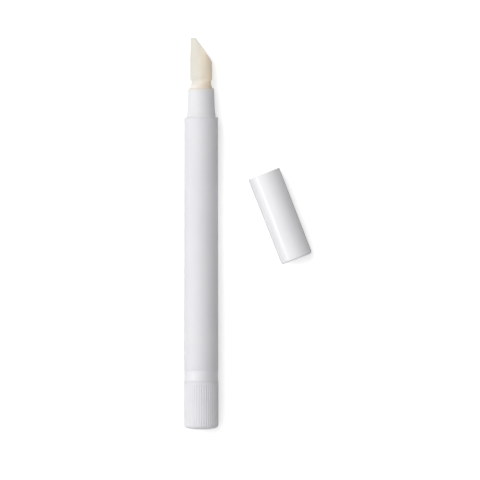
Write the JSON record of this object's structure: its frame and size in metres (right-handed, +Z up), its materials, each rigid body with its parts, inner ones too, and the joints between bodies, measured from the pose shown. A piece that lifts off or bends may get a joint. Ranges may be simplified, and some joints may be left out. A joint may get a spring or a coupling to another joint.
{
  "type": "twist-up cuticle scrub pen",
  "caption": "Slim white twist-up pen with a ribbed end knob, a screw-driven piston and a slant-cut soft tip, lying beside its cap; it doses cuticle scrub.",
  "frame": {"origin": "centre of the knob's flat end face, on the pen's axis", "axes": "+Y along the pen's axis from the knob to the soft tip, +Z up from the surface the pen lies on, +X towards the cap"},
  "size_m": [0.0426, 0.1305, 0.0116],
  "materials": {
    "satin_white": "fine satin moulded polypropylene",
    "gloss_white": "polished moulded polypropylene",
    "semi_clear": "smooth semi-clear moulded polypropylene",
    "soft_cream": "soft slightly see-through elastomer",
    "natural": "uncoloured moulded plastic",
    "inner_white": "plain white moulded plastic"
  },
  "bodies": {
    "pen_body": {"barrel": "satin_white", "neck_collar": "gloss_white", "applicator_tip": "soft_cream", "feed_tube": "natural", "drive_housing": "semi_clear", "screw_nut": "natural"},
    "twist_drive": {"twist_knob": "satin_white", "drive_sleeve": "inner_white", "click_ring": "natural"},
    "drive_screw": {"screw_rod": "inner_white"},
    "plunger": {"piston": "natural"},
    "pen_cap": {"cap": "gloss_white"}
  },
  "joints": [
    {"name": "knob_twist", "type": "hinge", "parent": "pen_body", "child": "twist_drive", "pos_m": [0, 0, 0], "axis": [0, 1, 0], "range_deg": [0, 4320], "deforming": ["click_ring"]},
    {"name": "screw_advance", "type": "slide", "parent": "twist_drive", "child": "drive_screw", "axis": [0, 1, 0], "range_m": [0, 0.036]},
    {"name": "piston_advance", "type": "slide", "parent": "pen_body", "child": "plunger", "axis": [0, 1, 0], "range_m": [0, 0.036]},
    {"name": "cap_slide", "type": "slide", "parent": "pen_body", "child": "pen_cap", "axis": [0.3633, -0.9317, 0], "range_m": [0, 0.0266]}
  ],
  "couplings": [
    {"joint": "knob_twist", "follows": "screw_advance", "rad_per_m": 2094.4},
    {"joint": "piston_advance", "follows": "screw_advance", "ratio": 1}
  ]
}
